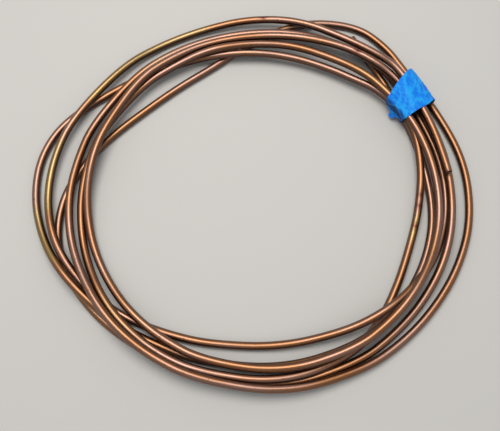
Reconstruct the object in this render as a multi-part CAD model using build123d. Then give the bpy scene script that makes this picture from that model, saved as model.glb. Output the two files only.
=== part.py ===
from build123d import *
import math
import os

# A loose coil of soft copper tube, six turns and a bit, lying flat and bound by one wrap of tape.
# Millimetres, +Z up. The origin is on the floor, under the middle of the coil's box.

# Tube
tube_od = 9.525
tube_wall = 0.8128
tube_clearance = 0.3

# Coil: the angles say how far round from the tape each point of a turn is, clockwise from above
mean_radius = 217.0
tape_direction = 31.8
turn_angles = (
    8, 24, 40, 54, 67, 79, 92, 114, 138, 152, 164, 175,
    187, 198, 210, 222, 234, 256, 270, 284, 300, 316, 332, 343, 352,
)

# Tape: its width along the outer side of the bundle, and how askew its northern edge runs
tape_width = 52.0
tape_offset = 3.0
tape_askew = 22.0
tape_thickness = 0.7
tape_clearance = 0.3

# The route, one (lane, level) for each angle. A lane is one tube and its clearance outwards from
# the mean radius, and a level is as much up from the floor, where the lowest stretches lie.
# Level 0.12 lifts a tube off the floor by the tape that passes under it.
first_end = ((-27, 2.75, 0.0), (-18, 1.2, 0.0), (-9, 0.0, 0.12))
turns = (
    (
        (-0.85, 0.12), (-0.8, 0.0), (-0.15, 0.0), (0.0, 0.0), (0.0, 0.15),
        (-0.2, 1.2), (-0.4, 1.1), (-0.8, 0.2), (-0.7, 0.0), (-0.2, 0.15),
        (0.75, 0.6), (1.6, 1.15), (3.0, 1.45), (4.25, 0.4), (5.15, 0.0),
        (5.15, 0.0), (3.45, 0.0), (-0.5, 0.0), (-2.1, 0.2), (-3.2, 0.95),
        (-3.65, 1.1), (-3.6, 0.9), (-3.15, 0.9), (-2.5, 1.0), (-1.75, 1.1),
    ),
    (
        (-0.6, 1.15), (-1.3, 1.0), (-2.1, 0.4), (-2.2, 0.0), (-1.55, 0.0),
        (-0.5, 0.0), (0.55, 0.4), (0.85, 1.1), (0.5, 1.0), (0.6, 1.15),
        (0.4, 1.65), (0.2, 1.45), (-0.1, 0.5), (-0.35, 0.1), (-0.75, 0.5),
        (-1.25, 1.05), (-1.65, 1.0), (-2.3, 1.0), (-2.7, 1.25), (-2.85, 2.0),
        (-2.7, 1.65), (-2.15, 1.3), (-2.05, 1.7), (-1.5, 2.0), (-1.35, 2.15),
    ),
    (
        (-0.9, 2.2), (-0.3, 1.9), (0.2, 1.75), (0.3, 1.9), (0.25, 2.45),
        (0.2, 2.15), (0.1, 2.0), (-0.35, 1.25), (-0.85, 1.05), (-1.05, 1.05),
        (-1.15, 1.0), (-1.25, 0.6), (-1.3, 0.2), (-1.4, 0.4), (-1.6, 1.2),
        (-1.9, 2.1), (-2.15, 2.1), (-1.8, 2.0), (-1.85, 1.85), (-1.65, 1.55),
        (-1.6, 1.6), (-0.95, 1.65), (-0.15, 2.0), (0.43, 2.25), (0.95, 1.72),
    ),
    (
        (1.5, 1.25), (1.7, 1.1), (1.9, 1.15), (2.0, 1.0), (1.9, 0.1),
        (1.7, 0.0), (1.55, 0.0), (1.2, 0.0), (0.9, 0.0), (1.05, 0.0),
        (1.6, 0.0), (2.2, 0.0), (2.8, 0.0), (2.7, 0.0), (1.5, 0.0),
        (-0.7, 0.0), (-2.75, 0.0), (-4.95, 0.0), (-5.0, 0.0), (-4.4, 0.0),
        (-1.75, 0.0), (2.2, 0.0), (4.6, 0.0), (4.35, 0.05), (3.5, 0.12),
    ),
    (
        (3.55, 0.12), (4.25, 0.0), (4.4, 0.0), (3.95, 0.0), (3.4, 0.0),
        (3.0, 0.0), (2.55, 0.3), (1.9, 1.25), (1.25, 1.75), (1.2, 2.0),
        (1.15, 2.35), (1.0, 2.15), (0.9, 1.45), (0.85, 1.0), (0.55, 1.1),
        (0.1, 1.0), (-0.1, 0.7), (-0.75, 1.15), (-0.8, 1.0), (-0.8, 0.85),
        (-0.75, 1.05), (-0.05, 0.95), (0.5, 1.05), (0.95, 1.33), (1.15, 0.6),
    ),
    (
        (0.85, 0.3), (1.4, 0.05), (1.5, 0.0), (0.9, 0.75), (-0.1, 1.45),
        (-1.05, 1.8), (-2.15, 0.9), (-3.15, 0.0), (-2.8, 0.0), (-1.8, 0.0),
        (-0.5, 0.0), (0.85, 0.2), (2.05, 0.85), (2.95, 1.15), (3.4, 0.5),
        (3.1, 0.85), (2.4, 1.15), (1.65, 0.7), (1.5, 0.0), (1.3, 0.1),
        (1.45, 0.8), (1.75, 1.1), (1.65, 1.2), (1.7, 2.2), (1.5, 2.68),
    ),
)
last_end = ((8, 1.2, 2.4), (18, 1.25, 2.2), (28, 1.3, 2.2))

bore_radius = tube_od / 2 - tube_wall
pitch = tube_od + tube_clearance
tape_steps = 6


def route_stations():
    """Every point of the route as degrees travelled from the tape, lane and level."""
    stations = list(first_end)
    for number, turn in enumerate(turns):
        for angle, (lane, level) in zip(turn_angles, turn):
            stations.append((360 * number + angle, lane, level))
    for angle, lane, level in last_end:
        stations.append((360 * len(turns) + angle, lane, level))
    return stations


def route_points():
    """The corners of the route. Each stands out a little, because its arc passes inside it."""
    stations = route_stations()
    points = []
    for number, (angle, lane, level) in enumerate(stations):
        before = stations[max(number - 1, 0)][0]
        after = stations[min(number + 1, len(stations) - 1)][0]
        neighbours = 2 if 0 < number < len(stations) - 1 else 1
        half_gap = (after - before) / neighbours / 2
        radius = (mean_radius + lane * pitch) / math.cos(math.radians(half_gap))
        direction = math.radians(tape_direction - angle)
        height = tube_od / 2 + level * pitch
        points.append(Vector(radius * math.cos(direction), radius * math.sin(direction), height))
    return points


def bend_radii(points):
    """The largest bend that fits at each corner, leaving a tenth of the shorter run straight."""
    radii = []
    for before, corner, after in zip(points, points[1:], points[2:]):
        run_in = corner - before
        run_out = after - corner
        half_turn = math.radians(run_in.get_angle(run_out)) / 2
        radii.append(0.45 * min(run_in.length, run_out.length) / math.tan(half_turn))
    return radii


def wall_surface(edge, radius):
    """The round surface at one radius about one run or bend of the route."""
    circle = Edge.make_circle(radius, Plane(origin=edge @ 0, z_dir=edge % 0))
    if edge.geom_type == GeomType.LINE:
        return Face.extrude(circle, edge @ 1 - edge @ 0)
    sweep_angle = math.degrees(edge.length / edge.radius)
    axis = Axis(edge.arc_center, (edge % 0).cross(edge % 1))
    return Face.revolve(circle, sweep_angle, axis)


def cut_end(place, direction):
    """The flat sawn ring at one end of the tube."""
    end = Plane(origin=place, z_dir=direction)
    outer = Wire(Edge.make_circle(tube_od / 2, end))
    bore = Wire(Edge.make_circle(bore_radius, end))
    return Face(outer, [bore])


def copper_tube(route):
    """One hollow tube along the whole route, closed from its outer wall, bore and two ends."""
    faces = []
    for edge in route.edges():
        faces.append(wall_surface(edge, tube_od / 2))
        faces.append(wall_surface(edge, bore_radius))
    faces.append(cut_end(route @ 0, route % 0))
    faces.append(cut_end(route @ 1, route % 1))
    return Solid(Shell(faces))


def tape_plane(offset):
    """A plane across the bundle of turns, offset along the tape's width from its middle."""
    turn = Rot(0, 0, tape_direction)
    return Plane(turn * Location((mean_radius, offset, tube_od / 2), (90, 0, 0)))


def bundle_places(route):
    """Where the tubes pass through the tape, in the plane across its middle."""
    middle = tape_plane(0)
    places = []
    for step in range(tape_steps + 1):
        across = tape_plane(tape_offset + tape_width * (step / tape_steps - 0.5))
        for edge in route.edges():
            for hit in edge.intersect(across) or []:
                place = middle.to_local_coords(hit.center())
                if abs(place.X) < mean_radius:
                    places.append((place.X, place.Y))
    return places


def bundle_outline(places, growth):
    """The tight outline round every tube in the bundle, this much off their walls."""
    circles = [Pos(x, y) * Edge.make_circle(tube_od / 2 + growth) for x, y in places]
    return make_hull(circles)


def tape_wrap(route):
    """The tape as the closed band that its windings make, drawn tight round the bundle."""
    places = bundle_places(route)
    outer = bundle_outline(places, tape_clearance + tape_thickness)
    inner = bundle_outline(places, tape_clearance)
    band = extrude(tape_plane(tape_offset) * (outer - inner), tape_width / 2, both=True)
    outer_side = mean_radius + max(x for x, _ in places)
    corner = Location((outer_side, tape_offset + tape_width / 2, 0), (0, 0, tape_askew))
    northern_edge = Plane(Rot(0, 0, tape_direction) * corner * Rot(90, 0, 0))
    return split(band, bisect_by=northern_edge, keep=Keep.TOP)


points = route_points()
radii = bend_radii(points)
route = FilletPolyline(*points, radius=radii)
tube = copper_tube(route)
wrap = tape_wrap(route)

box = tube.bounding_box()
to_middle = Pos(-box.center().X, -box.center().Y, 0)
parts = {"copper_tube": to_middle * tube, "tape_wrap": to_middle * wrap}

os.makedirs("parts", exist_ok=True)
for name, part in parts.items():
    part.label = name
    export_step(part, f"parts/{name}.step")

section_area = math.pi * ((tube_od / 2) ** 2 - bore_radius**2)
print("bends from", round(min(radii)), "to", round(max(radii)), "mm")
print("tube length", round(route.length), "mm")
print("tube volume", round(tube.volume), "against section by length", round(section_area * route.length))
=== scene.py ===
# %% [markdown]
# # A loose coil of soft copper tube
#
# The object is one length of bare copper tube, six turns and a bit, lying flat. The turns wander
# over and under one another and are held at one place by a wrap of crinkled blue tape. Two pieces
# are made here: the tube, swept round nearly the same route as the CAD tube, and the tape, wound
# on it. Each takes the place of one plain CAD piece and rides on the same body, the only one.

# %% Load the frame
import math
import bpy
import numpy as np
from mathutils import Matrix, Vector, noise


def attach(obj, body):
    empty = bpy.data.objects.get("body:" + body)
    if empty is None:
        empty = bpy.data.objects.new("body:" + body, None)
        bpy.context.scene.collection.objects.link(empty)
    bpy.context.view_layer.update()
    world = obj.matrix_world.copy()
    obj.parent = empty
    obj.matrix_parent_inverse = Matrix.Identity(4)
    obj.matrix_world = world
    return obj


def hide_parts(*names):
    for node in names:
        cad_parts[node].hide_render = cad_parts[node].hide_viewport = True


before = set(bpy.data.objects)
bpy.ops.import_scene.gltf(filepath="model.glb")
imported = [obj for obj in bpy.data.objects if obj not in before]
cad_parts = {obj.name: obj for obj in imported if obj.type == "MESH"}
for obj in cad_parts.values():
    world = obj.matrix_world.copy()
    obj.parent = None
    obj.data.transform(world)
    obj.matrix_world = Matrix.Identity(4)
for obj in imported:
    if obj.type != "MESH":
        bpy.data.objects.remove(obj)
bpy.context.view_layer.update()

MM = 0.001

# %% [markdown]
# ## Small helpers
#
# Paint and metal colours are easiest to write as the hex codes that a colour picker shows, but
# Blender's sockets want linear light, so one function converts them. A second one adds a shader
# node with its settings and links in one line, which keeps each material short enough to read.

# %% Colours and nodes
def colour(hex_code):
    """A hex colour such as "#B87333" as Blender's linear red, green, blue and alpha."""
    shares = [int(hex_code[place:place + 2], 16) / 255 for place in (1, 3, 5)]
    linear = [share / 12.92 if share < 0.04045 else ((share + 0.055) / 1.055) ** 2.4 for share in shares]
    return (*linear, 1.0)


def new_material(name):
    """An empty node material."""
    material = bpy.data.materials.new(name)
    material.use_nodes = True
    material.node_tree.nodes.clear()
    return material


def add_node(material, kind, settings=None, links=None):
    """Add a node. Settings name its sockets or its own properties, and links feed its sockets."""
    node = material.node_tree.nodes.new(kind)
    for name, value in (settings or {}).items():
        if isinstance(name, str) and hasattr(node, name):
            setattr(node, name, value)
        else:
            node.inputs[name].default_value = value
    for name, source in (links or {}).items():
        material.node_tree.links.new(source, node.inputs[name])
    return node


def select_only(piece):
    """Select one object and make it the active one, because operators act on the selection."""
    bpy.ops.object.select_all(action="DESELECT")
    piece.select_set(True)
    bpy.context.view_layer.objects.active = piece


print("middle grey, #808080, is", round(colour("#808080")[0], 3), "in linear light")

# %% [markdown]
# ## The camera
#
# The photograph was taken by hand from above the near side of the coil, looking down at about 74
# degrees. A lens of 43 mm on a 36 mm wide sensor is a mild telephoto, so far turns look nearly as
# large as near ones. The camera is placed first, because everything else is judged through it.

# %% Camera
CAMERA_PLACE = (-2.40 * MM, -228.64 * MM, 700.3 * MM)
CAMERA_TILT = math.radians(15.83)

bpy.ops.object.select_all(action="DESELECT")
bpy.ops.object.camera_add(location=CAMERA_PLACE, rotation=(CAMERA_TILT, 0, 0))
camera = bpy.context.object
camera.data.sensor_fit = "HORIZONTAL"
camera.data.sensor_width = 36
camera.data.lens = 43.2
bpy.context.scene.camera = camera
print("the camera stands", round(camera.location.z / MM), "mm above the floor")

# %% [markdown]
# ## Floor and light
#
# Bare metal shows mostly what is around it, so the light is part of its look. One wide soft lamp
# above the coil draws a single line of light along the top of every turn. A pale floor and an
# even sky fill the rest, and the turns' own shadows fall a little towards the viewer.

# %% Floor, lamp and sky
FLOOR_SIZE = 14.0
FLOOR_COLOUR = "#DCD7CF"
LAMP_PLACE = Vector((-0.15, 0.3, 1.4))
LAMP_SIZE = 0.95
LAMP_POWER = 12.0
SKY_COLOUR = "#E4E8EE"
SKY_STRENGTH = 0.5

bpy.ops.object.select_all(action="DESELECT")
bpy.ops.mesh.primitive_plane_add(size=FLOOR_SIZE, location=(0, 0, 0))
floor = bpy.context.object
floor.name = "floor"
floor_paper = new_material("pale_studio_paper")
floor_shader = add_node(floor_paper, "ShaderNodeBsdfPrincipled", {
    "Base Color": colour(FLOOR_COLOUR), "Roughness": 0.9,
})
add_node(floor_paper, "ShaderNodeOutputMaterial", links={"Surface": floor_shader.outputs[0]})
floor.data.materials.append(floor_paper)

bpy.ops.object.light_add(type="AREA", location=LAMP_PLACE)
lamp = bpy.context.object
lamp.rotation_euler = (-LAMP_PLACE).to_track_quat("-Z", "Y").to_euler()
lamp.data.shape = "DISK"
lamp.data.size = LAMP_SIZE
lamp.data.energy = LAMP_POWER

sky = bpy.data.worlds.new("even_sky")
sky.use_nodes = True
sky.node_tree.nodes["Background"].inputs["Color"].default_value = colour(SKY_COLOUR)
sky.node_tree.nodes["Background"].inputs["Strength"].default_value = SKY_STRENGTH
bpy.context.scene.world = sky
bpy.context.scene.view_settings.view_transform = "Standard"
print("one lamp of", LAMP_POWER, "watts,", LAMP_SIZE, "m across")

# %% [markdown]
# ## The route of the tube
#
# Nobody can wind this by a formula: each turn was pulled about by hand. So the route is a table.
# Each row is a turn, and each pair says how many tube widths the turn lies out from the mean
# circle, and how many it lies up from the floor. The CAD tube follows nearly the same table. Near
# the tape and at the lower right, this one is moved by up to 4 mm, to sit as in the photograph.

# %% Sizes and the table of turns
TUBE_OD = 9.525 * MM
TUBE_WALL = 0.8128 * MM
TUBE_PITCH = TUBE_OD + 0.3 * MM
MEAN_RADIUS = 217.0 * MM
TAPE_DIRECTION = 31.8
COIL_AXIS = Vector((4.002 * MM, 1.055 * MM, 0))

TURN_ANGLES = (
    8, 24, 40, 54, 67, 79, 92, 114, 138, 152, 164, 175,
    187, 198, 210, 222, 234, 256, 270, 284, 300, 316, 332, 343, 352,
)
FIRST_END = ((-27, 2.75, 0.0), (-18, 1.2, 0.0), (-9, 0.0, 0.12))
TURNS = (
    (
        (-0.85, 0.12), (-0.8, 0.0), (-0.15, 0.0), (0.08, 0.0), (0.12, 0.15),
        (0.0, 1.18), (-0.15, 1.06), (-0.7, 0.2), (-0.7, 0.0), (-0.2, 0.15),
        (0.75, 0.6), (1.6, 1.15), (3.0, 1.45), (4.25, 0.4), (5.15, 0.0),
        (5.15, 0.0), (3.45, 0.0), (-0.5, 0.0), (-2.1, 0.2), (-3.2, 0.95),
        (-3.65, 1.1), (-3.6, 0.9), (-3.25, 0.9), (-2.65, 1.0), (-1.6, 1.08),
    ),
    (
        (-0.6, 1.15), (-1.45, 1.0), (-2.1, 0.4), (-2.2, 0.0), (-1.55, 0.0),
        (-0.5, 0.0), (0.55, 0.08), (0.82, 1.15), (0.5, 1.0), (0.6, 1.15),
        (0.4, 1.65), (0.2, 1.45), (-0.1, 0.5), (-0.35, 0.1), (-0.75, 0.5),
        (-1.25, 1.05), (-1.65, 1.0), (-2.3, 1.0), (-2.7, 1.25), (-2.85, 2.0),
        (-2.7, 1.65), (-2.15, 1.3), (-2.15, 1.7), (-1.68, 2.0), (-1.5, 2.15),
    ),
    (
        (-0.9, 2.2), (-0.3, 1.9), (0.2, 1.75), (0.3, 1.9), (0.25, 2.5),
        (0.18, 2.25), (0.08, 2.12), (-0.35, 1.25), (-0.85, 1.05), (-1.05, 1.05),
        (-1.15, 1.0), (-1.25, 0.6), (-1.3, 0.2), (-1.4, 0.4), (-1.6, 1.2),
        (-1.9, 2.1), (-2.15, 2.1), (-1.8, 2.0), (-1.85, 1.85), (-1.65, 1.55),
        (-1.6, 1.6), (-0.95, 1.65), (-0.15, 2.0), (0.3, 2.35), (0.95, 1.72),
    ),
    (
        (1.5, 1.25), (1.7, 1.1), (1.9, 1.15), (2.0, 1.0), (1.9, 0.1),
        (1.7, 0.0), (1.6, 0.0), (1.32, 0.0), (0.9, 0.0), (1.05, 0.0),
        (1.6, 0.0), (2.2, 0.0), (2.8, 0.0), (2.7, 0.0), (1.5, 0.0),
        (-0.7, 0.0), (-2.75, 0.0), (-4.95, 0.0), (-5.0, 0.0), (-4.4, 0.0),
        (-1.75, 0.0), (2.2, 0.0), (4.6, 0.0), (4.28, 0.05), (3.25, 0.12),
    ),
    (
        (3.3, 0.12), (4.25, 0.0), (4.4, 0.0), (3.95, 0.0), (3.4, 0.0),
        (3.0, 0.0), (2.55, 0.3), (1.9, 1.25), (1.25, 1.75), (1.2, 2.0),
        (1.15, 2.35), (1.0, 2.15), (0.9, 1.45), (0.85, 1.0), (0.55, 1.1),
        (0.1, 1.0), (-0.1, 0.7), (-0.75, 1.15), (-0.8, 1.0), (-0.8, 0.85),
        (-0.75, 1.05), (-0.05, 0.95), (0.5, 1.05), (0.82, 1.36), (1.15, 0.6),
    ),
    (
        (0.85, 0.3), (1.4, 0.05), (1.5, 0.0), (0.9, 0.75), (-0.1, 1.45),
        (-1.05, 1.8), (-2.15, 0.9), (-3.15, 0.0), (-2.8, 0.0), (-1.8, 0.0),
        (-0.5, 0.0), (0.85, 0.2), (2.05, 0.85), (2.95, 1.15), (3.4, 0.5),
        (3.1, 0.85), (2.4, 1.15), (1.65, 0.7), (1.5, 0.0), (1.3, 0.1),
        (1.45, 0.8), (1.75, 1.1), (1.52, 1.25), (1.74, 1.8), (1.57, 2.85),
    ),
)
LAST_END = ((8, 0.95, 2.4), (18, 1.12, 2.2), (28, 1.3, 2.2))


def route_corners():
    """The corners that pull the tube's line along, in metres, in the coil's own frame."""
    stations = list(FIRST_END)
    for number, turn in enumerate(TURNS):
        stations += [(360 * number + angle, *place) for angle, place in zip(TURN_ANGLES, turn)]
    stations += [(360 * len(TURNS) + angle, lane, level) for angle, lane, level in LAST_END]
    corners = []
    for number, (angle, lane, level) in enumerate(stations):
        before = stations[max(number - 1, 0)][0]
        after = stations[min(number + 1, len(stations) - 1)][0]
        neighbours = 2 if 0 < number < len(stations) - 1 else 1
        half_gap = math.radians((after - before) / neighbours / 2)
        radius = (MEAN_RADIUS + lane * TUBE_PITCH) / math.cos(half_gap)
        direction = math.radians(TAPE_DIRECTION - angle)
        place = Vector((radius * math.cos(direction), radius * math.sin(direction), 0))
        place.z = TUBE_OD / 2 + level * TUBE_PITCH
        corners.append(COIL_AXIS + place)
    return corners


corners = route_corners()
print("the route has", len(corners), "corners")

# %% [markdown]
# ## The tube
#
# A tube that wanders is made as a curve with a round bevel: the corners pull a smooth NURBS line
# after them, which bends as soft metal does, with no flats and no kinks. As a mesh it is a stack
# of rings, one after another along the line, and that order makes the next steps easy: every
# point's place along and round the tube can be worked out and stored on it for the finish.

# %% The swept tube
RINGS_PER_RUN = 12
SIDES = 24

curve = bpy.data.curves.new("copper_tube_line", "CURVE")
curve.dimensions = "3D"
curve.twist_mode = "Z_UP"
curve.bevel_mode = "ROUND"
curve.bevel_depth = TUBE_OD / 2
curve.bevel_resolution = SIDES // 2 - 2
spline = curve.splines.new("NURBS")
spline.points.add(len(corners) - 1)
for point, corner in zip(spline.points, corners):
    point.co = (*corner, 1.0)
spline.order_u = 3
spline.use_endpoint_u = True
spline.resolution_u = RINGS_PER_RUN

tube = bpy.data.objects.new("copper_tube_skin", curve)
bpy.context.collection.objects.link(tube)
select_only(tube)
bpy.ops.object.convert(target="MESH")
tube = bpy.context.object

skin = np.empty(len(tube.data.vertices) * 3)
tube.data.vertices.foreach_get("co", skin)
rings = skin.reshape(-1, SIDES, 3)
centres = rings.mean(axis=1)
steps = np.linalg.norm(np.diff(centres, axis=0), axis=1)
along = np.concatenate([[0.0], np.cumsum(steps)])
print("the tube has", len(rings), "rings and is", round(along[-1] / MM), "mm long")

# %% [markdown]
# ## Knocks
#
# Annealed copper is so soft that a knock leaves a dent. A few show where the turns were pulled
# over one another. They are pressed into the skin before it gets its wall: each point near a knock
# moves inwards, most in the middle and on the side that faces up, and not at all underneath. A
# place on the tube is given here by the degrees travelled round the coil since the tape.

# %% Dents
KNOCKS = (394.5, 398.2, 405.6, 1058.5, 2104.4)
DENT_LENGTH = 4.0 * MM
DENT_DEPTH = 0.9 * MM
FIRST_ANGLE = FIRST_END[0][0]

bearing = np.degrees(np.unwrap(np.arctan2(centres[:, 1] - COIL_AXIS.y, centres[:, 0] - COIL_AXIS.x)))
travelled = FIRST_ANGLE + bearing[0] - bearing
nicked = np.zeros(len(rings))
for knock in KNOCKS:
    middle = np.argmin(np.abs(travelled - knock))
    nicked = np.maximum(nicked, np.exp(-((along - along[middle]) / DENT_LENGTH) ** 2))
from_centre = rings - centres[:, None]
upward_share = np.clip(from_centre[:, :, 2] / (TUBE_OD / 2), 0, 1)
pressed = nicked[:, None] * upward_share ** 2 * DENT_DEPTH
rings = rings - from_centre / (TUBE_OD / 2) * pressed[:, :, None]
tube.data.vertices.foreach_set("co", rings.ravel())
print("dents pressed", round(pressed.max() / MM, 2), "mm deep at", len(KNOCKS), "places")

# %% [markdown]
# ## Places along and round the tube
#
# Drawn tube is marked lengthwise, by the die and by handling, so the finish must follow the tube
# and not the room. Each point gets a vector attribute: how far along the tube it is, and where it
# sits round a circle of the tube's size. Round a circle there is no seam, as there is in a UV map.
# A second one says how worn each point is: brassy, where hands have rubbed it, or nicked. The
# brassy stretches are given in degrees travelled, as the knocks are, and fade out at both ends.

# %% The unrolled place of every point
round_angles = np.arange(SIDES) / SIDES * 2 * math.pi
unrolled = np.empty_like(rings)
unrolled[:, :, 0] = along[:, None]
unrolled[:, :, 1] = np.cos(round_angles)[None, :] * TUBE_OD / 2
unrolled[:, :, 2] = np.sin(round_angles)[None, :] * TUBE_OD / 2
place_on_tube = tube.data.attributes.new("unrolled", "FLOAT_VECTOR", "POINT")
place_on_tube.data.foreach_set("vector", unrolled.ravel())

BRASSY_STRETCHES = ((190, 206), (403, 410), (2005, 2024), (2043, 2085))
FADE_ANGLE = 8.0

brassy = np.zeros(len(rings))
for first, last in BRASSY_STRETCHES:
    inside = np.minimum(travelled - first, last - travelled)
    brassy = np.maximum(brassy, np.clip(0.5 + inside / FADE_ANGLE, 0, 1))
worn = np.zeros_like(rings)
worn[:, :, 0] = brassy[:, None]
worn[:, :, 1] = nicked[:, None] * upward_share
wear_on_tube = tube.data.attributes.new("worn", "FLOAT_VECTOR", "POINT")
wear_on_tube.data.foreach_set("vector", worn.ravel())
print("brassy along", round(100 * brassy.mean()), "percent of the tube")

# %% [markdown]
# ## Wall and cut ends
#
# The skin gets its real wall by Solidify, inwards, so both sawn ends show a ring of metal and a
# dark bore. A small bevel breaks the sharp rims, as the cutter's wheel and a file do.

# %% Solid wall
RIM_BREAK = 0.15 * MM
RIM_ANGLE = math.radians(60)
ROUND_ANGLE = math.radians(40)

wall = tube.modifiers.new("wall", "SOLIDIFY")
wall.thickness = TUBE_WALL
wall.offset = -1
rim = tube.modifiers.new("rim", "BEVEL")
rim.width = RIM_BREAK
rim.segments = 2
rim.limit_method = "ANGLE"
rim.angle_limit = RIM_ANGLE
select_only(tube)
bpy.ops.object.modifier_apply(modifier="wall")
bpy.ops.object.modifier_apply(modifier="rim")
bpy.ops.object.shade_smooth_by_angle(angle=ROUND_ANGLE)
print("the tube has", sum(len(face.vertices) - 2 for face in tube.data.polygons), "triangles")

# %% [markdown]
# ## Aged copper
#
# Copper is one of the few coloured metals. New tube is pink, handled tube turns orange brown, and
# old tarnish is dark brown. The colour is mixed from copper on top to dark brown on the sides and
# underneath by the way the surface faces: partly tarnish, and partly painted shade on the flanks
# with a painted paler top. It is broken up by patches a hand wide, draw marks along the tube, and
# small dark spots. A thin film of oxide and grease lies over it all, which the coat stands for: it
# adds a paler, wider shine. The draw marks are really finer than a tenth of a millimetre, and are
# drawn as coarse as they need to show.

# %% Copper finish
PATCH_LENGTH = 110 * MM
PATCH_ROUND = 14 * MM
STREAK_LENGTH = 45 * MM
STREAK_ROUND = 1.1 * MM
SPOT_SIZE = 2.6 * MM
BROWN_COPPER = "#A46E44"
PINK_COPPER = "#A87E6A"
BRASSY_COPPER = "#AE9454"
# Dark brown for the sides and underside: partly tarnish, partly painted shade
TARNISH_AND_PAINTED_SHADE = "#42200E"
BRUISE = "#6A3220"
SPOT = "#3A1E12"


def copper_material():
    """Soft drawn, annealed, aged copper: satin, salmon on top, dark brown below by tarnish and painted
    shade.
    """
    copper = new_material("soft_copper_aged")
    place = add_node(copper, "ShaderNodeAttribute", {"attribute_name": "unrolled"})
    wear = add_node(copper, "ShaderNodeAttribute", {"attribute_name": "worn"})
    wear_kinds = add_node(copper, "ShaderNodeSeparateXYZ", links={"Vector": wear.outputs["Vector"]})
    facing = add_node(copper, "ShaderNodeTexCoord")
    upward = add_node(copper, "ShaderNodeSeparateXYZ", links={"Vector": facing.outputs["Normal"]})

    # Patches, draw marks and spots, each at its own real size on the unrolled tube
    patch_scale = (1 / PATCH_LENGTH, 1 / PATCH_ROUND, 1 / PATCH_ROUND)
    patch_place = add_node(copper, "ShaderNodeMapping", {"Scale": patch_scale},
                           {"Vector": place.outputs["Vector"]})
    patches = add_node(copper, "ShaderNodeTexNoise", {"Scale": 1.0, "Detail": 3.0},
                       {"Vector": patch_place.outputs[0]})
    gold_place = add_node(copper, "ShaderNodeMapping", {"Scale": patch_scale, "Location": (7.3, 0, 0)},
                          {"Vector": place.outputs["Vector"]})
    gold_patches = add_node(copper, "ShaderNodeTexNoise", {"Scale": 0.7, "Detail": 2.0},
                            {"Vector": gold_place.outputs[0]})
    streak_scale = (1 / STREAK_LENGTH, 1 / STREAK_ROUND, 1 / STREAK_ROUND)
    streak_place = add_node(copper, "ShaderNodeMapping", {"Scale": streak_scale},
                            {"Vector": place.outputs["Vector"]})
    streaks = add_node(copper, "ShaderNodeTexNoise", {"Scale": 1.0, "Detail": 4.0},
                       {"Vector": streak_place.outputs[0]})
    spot_scale = (1 / SPOT_SIZE, 1 / SPOT_SIZE, 1 / SPOT_SIZE)
    spot_place = add_node(copper, "ShaderNodeMapping", {"Scale": spot_scale},
                          {"Vector": place.outputs["Vector"]})
    spots = add_node(copper, "ShaderNodeTexNoise", {"Scale": 1.0, "Detail": 2.0},
                     {"Vector": spot_place.outputs[0]})

    # The copper's own colour: brown to pink by patches, and brassy where it is worn
    pinkness = add_node(copper, "ShaderNodeMapRange", {"From Min": 0.42, "From Max": 0.62},
                        {"Value": patches.outputs["Fac"]})
    goldness = add_node(copper, "ShaderNodeMath", {"operation": "ADD", "use_clamp": True},
                        {0: gold_patches.outputs["Fac"], 1: wear_kinds.outputs["X"]})
    golden = add_node(copper, "ShaderNodeMapRange", {"From Min": 0.58, "From Max": 1.25},
                      {"Value": goldness.outputs[0]})
    warm = add_node(copper, "ShaderNodeMix", {
        "data_type": "RGBA", 6: colour(BROWN_COPPER), 7: colour(PINK_COPPER),
    }, {0: pinkness.outputs[0]})
    tone = add_node(copper, "ShaderNodeMix", {"data_type": "RGBA", 7: colour(BRASSY_COPPER)},
                    {0: golden.outputs[0], 6: warm.outputs[2]})

    # Tarnish and painted shade below, copper on top, by the way the surface faces, with an uneven
    # border, then bruises and spots
    rubbed_and_lit_share = add_node(copper, "ShaderNodeMapRange", {"From Min": 0.2, "From Max": 1.0},
                      {"Value": upward.outputs["Z"]})
    rubbed_and_lit_uneven = add_node(copper, "ShaderNodeMath", {"operation": "MULTIPLY_ADD", 1: 0.5, 2: -0.25},
                             {0: streaks.outputs["Fac"]})
    rubbed_and_lit_mix = add_node(copper, "ShaderNodeMath", {"operation": "ADD", "use_clamp": True},
                          {0: rubbed_and_lit_share.outputs[0], 1: rubbed_and_lit_uneven.outputs[0]})
    tarnish_and_shade_mixed = add_node(copper, "ShaderNodeMix", {"data_type": "RGBA", 6: colour(TARNISH_AND_PAINTED_SHADE)},
                     {0: rubbed_and_lit_mix.outputs[0], 7: tone.outputs[2]})
    bruised = add_node(copper, "ShaderNodeMix", {"data_type": "RGBA", 7: colour(BRUISE)},
                       {0: wear_kinds.outputs["Y"], 6: tarnish_and_shade_mixed.outputs[2]})
    spotted = add_node(copper, "ShaderNodeMapRange", {"From Min": 0.66, "From Max": 0.74, "To Max": 0.7},
                       {"Value": spots.outputs["Fac"]})
    base = add_node(copper, "ShaderNodeMix", {"data_type": "RGBA", 7: colour(SPOT)},
                    {0: spotted.outputs[0], 6: bruised.outputs[2]})

    # The shine, a little duller in some draw marks than in others
    rough = add_node(copper, "ShaderNodeMapRange", {
        "From Min": 0.3, "From Max": 0.7, "To Min": 0.32, "To Max": 0.45,
    }, {"Value": streaks.outputs["Fac"]})
    bump = add_node(copper, "ShaderNodeBump", {"Strength": 0.25, "Distance": 0.05 * MM},
                    {"Height": streaks.outputs["Fac"]})
    shader = add_node(copper, "ShaderNodeBsdfPrincipled", {
        "Metallic": 1.0, "Coat Weight": 0.5, "Coat Roughness": 0.25,
    }, {
        "Base Color": base.outputs[2], "Roughness": rough.outputs[0], "Normal": bump.outputs[0],
    })
    add_node(copper, "ShaderNodeOutputMaterial", links={"Surface": shader.outputs[0]})
    return copper


tube.data.materials.clear()
tube.data.materials.append(copper_material())
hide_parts("copper_tube")
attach(tube, "root")
print("the copper has", len(tube.active_material.node_tree.nodes), "nodes")

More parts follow.
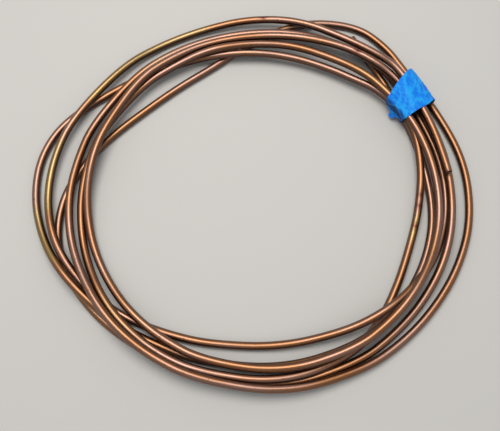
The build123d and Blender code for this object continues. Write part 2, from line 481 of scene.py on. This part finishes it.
# %% [markdown]
# ## The bundle under the tape
#
# The tape is drawn tight round seven passes of the tube, so its outline is what a string drawn
# round them would be. Slices are taken across the bundle at several places along the tape's
# width. In each one the tubes are circles, and the furthest circle in every direction gives the
# outline. Points on it at even angles about the bundle's middle then match from slice to slice.
# An angle of 0 points away from the coil's centre and 90 straight up, and the tape starts below.

# %% Outlines of the bundle
TAPE_OFF_TUBE = 0.25 * MM
TAPE_SOUTH = -26.0 * MM
TAPE_NORTH = 29.0 * MM
SLICES = 14
SLICE_REACH = 3.0 * MM
POINTS_ROUND = 170
START_ANGLE = -135.0

tape_angle = math.radians(TAPE_DIRECTION)
outwards = np.array((math.cos(tape_angle), math.sin(tape_angle), 0))
sideways = np.array((-math.sin(tape_angle), math.cos(tape_angle), 0))
axis_place = np.array(COIL_AXIS)


def bundle_places(offset):
    """Where the tube's line passes a slice: out from the coil's axis and up from the floor."""
    from_axis = centres - axis_place
    side = from_axis @ sideways - offset
    out = from_axis @ outwards
    crossing = np.nonzero((side[:-1] * side[1:] <= 0) & (out[:-1] > 0))[0]
    share = side[crossing] / (side[crossing] - side[crossing + 1])
    return np.stack([
        out[crossing] + share * (out[crossing + 1] - out[crossing]),
        from_axis[crossing, 2] + share * (from_axis[crossing + 1, 2] - from_axis[crossing, 2]),
    ], axis=1)


def tight_outline(places, middle):
    """Points on the outline drawn round circles at these places, at even angles about the middle."""
    directions = np.radians(np.arange(0.0, 360.0, 1.0))
    normals = np.stack([np.cos(directions), np.sin(directions)], axis=1)
    furthest = places[np.argmax(places @ normals.T, axis=0)]
    spokes = furthest + normals * (TUBE_OD / 2 + TAPE_OFF_TUBE) - middle
    spoke_angles = np.arctan2(spokes[:, 1], spokes[:, 0])
    reach = np.interp(winding_angles, spoke_angles, np.linalg.norm(spokes, axis=1), period=2 * math.pi)
    return middle + np.stack([np.cos(winding_angles), np.sin(winding_angles)], axis=1) * reach[:, None]


bundle_middle = bundle_places(0).mean(axis=0)
winding_angles = np.radians(START_ANGLE) + np.arange(POINTS_ROUND) / POINTS_ROUND * 2 * math.pi
outlines = []
for offset in np.linspace(TAPE_SOUTH, TAPE_NORTH, SLICES):
    nearby = [bundle_places(offset + reach) for reach in (-SLICE_REACH, 0, SLICE_REACH)]
    outlines.append(tight_outline(np.vstack(nearby), bundle_middle))
outlines = np.array(outlines)
girth = np.linalg.norm(np.diff(outlines[SLICES // 2], axis=0), axis=1).sum()
print("the tape goes round", len(bundle_places(0)), "tubes, about", round(girth / MM), "mm")

# %% [markdown]
# ## The tape
#
# Masking tape is creped paper, thin and limp, and it creases as it is pulled round corners. It is
# modelled as what it is: one long strip, laid on the outline for nearly two windings, the second
# one outside the first, with its end peeling off on the inner side. A plain grid is the strip, and
# every point is then moved to its place. Its far edge runs askew, so both edges are given as pairs
# of an angle round the bundle and millimetres along the tubes.

# %% A plain strip
TAPE_PAPER = 0.16 * MM
WINDINGS = 1.88
STRIP_COLUMNS = 44
NORTH_EDGE = ((-135, 3), (-30, 24), (35, 26.5), (90, 19.5), (145, 10.5), (185, 6), (225, 3))
SOUTH_EDGE = ((-135, -20), (-30, -20), (20, -22.5), (55, -25.5), (145, -25.5), (225, -20))
PEEL_ROWS = 16

wound_rows = round(WINDINGS * POINTS_ROUND)
strip_rows = wound_rows + PEEL_ROWS
bpy.ops.object.select_all(action="DESELECT")
bpy.ops.mesh.primitive_grid_add(x_subdivisions=strip_rows - 1, y_subdivisions=STRIP_COLUMNS - 1, size=1)
tape = bpy.context.object
tape.name = "tape_winding"
print("the strip has", strip_rows, "by", STRIP_COLUMNS, "points")

# %% [markdown]
# ## Creases
#
# Paper that is pulled round a bundle doesn't stretch evenly: it buckles into short sharp ridges
# that slant over the strip. Smooth noise has no ridges, but where it passes through zero it draws
# lines, and folding it there turns each line into one. Two sets slant in opposite directions, as
# the creases of a twisted wrap do, and a little plain noise keeps the rest from being flat.

# %% Height of the creases
BROAD_SLANT = (0.8, -0.5)
BROAD_SIZE = (9 * MM, 22 * MM)
BROAD_HEIGHT = 0.6 * MM
CROSSED_SLANT = (-0.6, 0.4)
CROSSED_SIZE = (6 * MM, 15 * MM)
CROSSED_HEIGHT = 0.35 * MM
FINE_SIZE = (2.1 * MM, 5.5 * MM)
FINE_HEIGHT = 0.18 * MM


def ridges(travel, offset, slant, size, sharpness, layer):
    """One set of slanting ridges, from 0 to 1. They run where smooth noise passes through zero."""
    along_strip = (travel + slant[0] * offset) / size[0]
    across_strip = (offset + slant[1] * travel) / size[1]
    hill = 1 - sharpness * abs(noise.noise(Vector((along_strip, across_strip, layer))))
    return max(hill, 0.0) ** 2


def crease_height(travel, offset):
    """How far the paper stands out here: two sets of ridges that cross, and a fine unevenness."""
    broad = ridges(travel, offset, BROAD_SLANT, BROAD_SIZE, sharpness=2.4, layer=3.1)
    crossed = ridges(travel, offset, CROSSED_SLANT, CROSSED_SIZE, sharpness=3.0, layer=5.7)
    fine = noise.noise(Vector((travel / FINE_SIZE[0], offset / FINE_SIZE[1], 8.4)))
    return broad * BROAD_HEIGHT + crossed * CROSSED_HEIGHT + fine * FINE_HEIGHT


print("a crease stands out by up to", round((BROAD_HEIGHT + CROSSED_HEIGHT + FINE_HEIGHT) / MM, 1), "mm")

# %% [markdown]
# ## Laying the strip
#
# Row by row the strip goes round the bundle, on the outline of the slice that it crosses there.
# Each winding lies two papers' thickness outside the last. Both have the same creases, because the
# outer one is pressed into the inner one's. After the last wound row the strip leaves the outline:
# it narrows, curls inwards, drops towards the floor, and loses most of its creases.

# %% The wound strip
PEEL_SOUTH = -11.0 * MM
PEEL_NORTH = -4.0 * MM
PEEL_OUT = 5.0 * MM
PEEL_DROP = 10.0 * MM
PEEL_TURN_IN = 1.6
PEEL_CURL = 1.5
PEEL_STRETCH = 0.7
LOWEST_POINT = 0.4 * MM


def outline_point(row, offset):
    """The outline's point and outward normal at this step round and this offset sideways."""
    between = (offset - TAPE_SOUTH) / (TAPE_NORTH - TAPE_SOUTH) * (SLICES - 1)
    low = min(max(int(between), 0), SLICES - 2)
    share = between - low
    step = row % POINTS_ROUND
    here, after, before = (
        outlines[low, place % POINTS_ROUND] * (1 - share) + outlines[low + 1, place % POINTS_ROUND] * share
        for place in (step, step + 2, step - 2)
    )
    run = (after - before) / np.linalg.norm(after - before)
    return here, np.array((run[1], -run[0]))


north_angles, north_offsets = np.array(NORTH_EDGE).T
south_angles, south_offsets = np.array(SOUTH_EDGE).T
strip = np.empty((strip_rows, STRIP_COLUMNS, 3))
unwound = np.empty((strip_rows, STRIP_COLUMNS, 3))
for row in range(strip_rows):
    on_bundle = min(row, wound_rows - 1)
    peel = max(row - wound_rows + 1, 0) / PEEL_ROWS
    round_bundle = START_ANGLE + (on_bundle % POINTS_ROUND) / POINTS_ROUND * 360
    north = np.interp(round_bundle, north_angles, north_offsets) * MM
    south = np.interp(round_bundle, south_angles, south_offsets) * MM
    for column in range(STRIP_COLUMNS):
        across = column / (STRIP_COLUMNS - 1)
        wound_offset = south + (north - south) * across
        peeled_offset = PEEL_SOUTH + (PEEL_NORTH - PEEL_SOUTH) * across
        offset = wound_offset + (peeled_offset - wound_offset) * min(PEEL_TURN_IN * peel, 1)
        point, normal = outline_point(on_bundle, offset)
        travel = row / POINTS_ROUND * girth
        crease = max(crease_height(travel % girth, offset), 0) * (1 - PEEL_STRETCH * peel)
        lift = TAPE_PAPER * (1 + 2 * row / POINTS_ROUND) + crease
        out, up = point + normal * lift
        out -= peel ** PEEL_CURL * PEEL_OUT
        up -= peel * PEEL_DROP
        strip[row, column] = axis_place + outwards * out + sideways * offset
        strip[row, column, 2] = max(up, LOWEST_POINT)
        unwound[row, column] = (travel, offset, crease)

tape_points = np.empty(len(tape.data.vertices) * 3)
tape.data.vertices.foreach_get("co", tape_points)
grid = tape_points.reshape(-1, 3)
grid_row = np.rint((grid[:, 0] + 0.5) * (strip_rows - 1)).astype(int)
grid_column = np.rint((grid[:, 1] + 0.5) * (STRIP_COLUMNS - 1)).astype(int)
tape.data.vertices.foreach_set("co", strip[grid_row, grid_column].ravel())
place_on_tape = tape.data.attributes.new("unwound", "FLOAT_VECTOR", "POINT")
place_on_tape.data.foreach_set("vector", unwound[grid_row, grid_column].ravel())
print("the strip is about", round(strip_rows / POINTS_ROUND * girth / MM), "mm long")

# %% [markdown]
# ## Paper thickness
#
# The strip is still a surface. Solidify gives it the paper's thickness, to both sides alike, and
# closes it at its edges, so that it is a real body with nothing open.

# %% Solid paper
PAPER_FOLD = math.radians(50)

paper = tape.modifiers.new("paper", "SOLIDIFY")
paper.thickness = TAPE_PAPER
paper.offset = 0
select_only(tape)
bpy.ops.object.modifier_apply(modifier="paper")
bpy.ops.object.shade_smooth_by_angle(angle=PAPER_FOLD)
print("the tape has", sum(len(face.vertices) - 2 for face in tape.data.polygons), "triangles")

# %% [markdown]
# ## Creped paper
#
# The tape is matt paper, dyed bright blue through and through, with a dry rubber face that hardly
# shines. Its crepe is a fine wrinkle across the strip, half a millimetre apart and here drawn
# nearly twice as coarse, so that it shows. The height of each crease, which was stored on the
# strip, lightens the blue where the paper stands up: a painted highlight on the ridges. Sides that
# face away from the light are filled in by hardly anything, and get a deeper blue, a painted shade.

# %% Tape finish
CREPE_PITCH = 0.9 * MM
CREPE_RUN = 7 * MM
BLOTCH_LENGTH = 4 * MM
BLOTCH_WIDTH = 11 * MM
FLAT_CREASE = 0.1 * MM
FULL_CREASE = 0.6 * MM
DEEP_BLUE = "#0078F2"
# Paler blue for random blotches and for the painted highlight on crease ridges
PALE_BLUE_AND_RIDGE_HIGHLIGHT = "#20AEFF"
SHADED_BLUE = "#04306E"


def tape_material():
    """Creped paper tape: matt, dyed blue, painted highlight on crease ridges, fine crepe across the strip.
    """
    paper_tape = new_material("creped_paper_tape_blue")
    place = add_node(paper_tape, "ShaderNodeAttribute", {"attribute_name": "unwound"})
    crepe_place = add_node(paper_tape, "ShaderNodeMapping", {
        "Scale": (1 / CREPE_PITCH, 1 / CREPE_RUN, 1),
    }, {"Vector": place.outputs["Vector"]})
    crepe = add_node(paper_tape, "ShaderNodeTexNoise", {"Scale": 1.0, "Detail": 3.0},
                     {"Vector": crepe_place.outputs[0]})
    blotch_place = add_node(paper_tape, "ShaderNodeMapping", {
        "Scale": (1 / BLOTCH_LENGTH, 1 / BLOTCH_WIDTH, 1),
    }, {"Vector": place.outputs["Vector"]})
    blotches = add_node(paper_tape, "ShaderNodeTexNoise", {"Scale": 1.0, "Detail": 4.0},
                        {"Vector": blotch_place.outputs[0]})
    height = add_node(paper_tape, "ShaderNodeSeparateXYZ", links={"Vector": place.outputs["Vector"]})
    # Crease ridges made paler by their height: a painted highlight
    ridge_highlight = add_node(paper_tape, "ShaderNodeMapRange", {
        "From Min": FLAT_CREASE, "From Max": FULL_CREASE, "To Max": 0.55,
    }, {"Value": height.outputs["Z"]})
    blotches_and_ridge_highlight = add_node(paper_tape, "ShaderNodeMath", {"operation": "ADD"},
                         {0: blotches.outputs["Fac"], 1: ridge_highlight.outputs[0]})
    shade = add_node(paper_tape, "ShaderNodeMapRange", {"From Min": 0.35, "From Max": 1.1},
                     {"Value": blotches_and_ridge_highlight.outputs[0]})
    dyed = add_node(paper_tape, "ShaderNodeMix", {
        "data_type": "RGBA", 6: colour(DEEP_BLUE), 7: colour(PALE_BLUE_AND_RIDGE_HIGHLIGHT),
    }, {0: shade.outputs[0]})
    facing = add_node(paper_tape, "ShaderNodeTexCoord")
    upward = add_node(paper_tape, "ShaderNodeSeparateXYZ", links={"Vector": facing.outputs["Normal"]})
    lit = add_node(paper_tape, "ShaderNodeMapRange", {"From Min": 0.0, "From Max": 0.6},
                   {"Value": upward.outputs["Z"]})
    base = add_node(paper_tape, "ShaderNodeMix", {"data_type": "RGBA", 6: colour(SHADED_BLUE)},
                    {0: lit.outputs[0], 7: dyed.outputs[2]})
    bump = add_node(paper_tape, "ShaderNodeBump", {"Strength": 0.5, "Distance": 0.12 * MM},
                    {"Height": crepe.outputs["Fac"]})
    shader = add_node(paper_tape, "ShaderNodeBsdfPrincipled", {
        "Roughness": 0.6, "Specular IOR Level": 0.25,
    }, {
        "Base Color": base.outputs[2], "Normal": bump.outputs[0],
    })
    add_node(paper_tape, "ShaderNodeOutputMaterial", links={"Surface": shader.outputs[0]})
    return paper_tape


tape.data.materials.append(tape_material())
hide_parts("tape_wrap")
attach(tape, "root")
print("the paper has", len(tape.active_material.node_tree.nodes), "nodes")
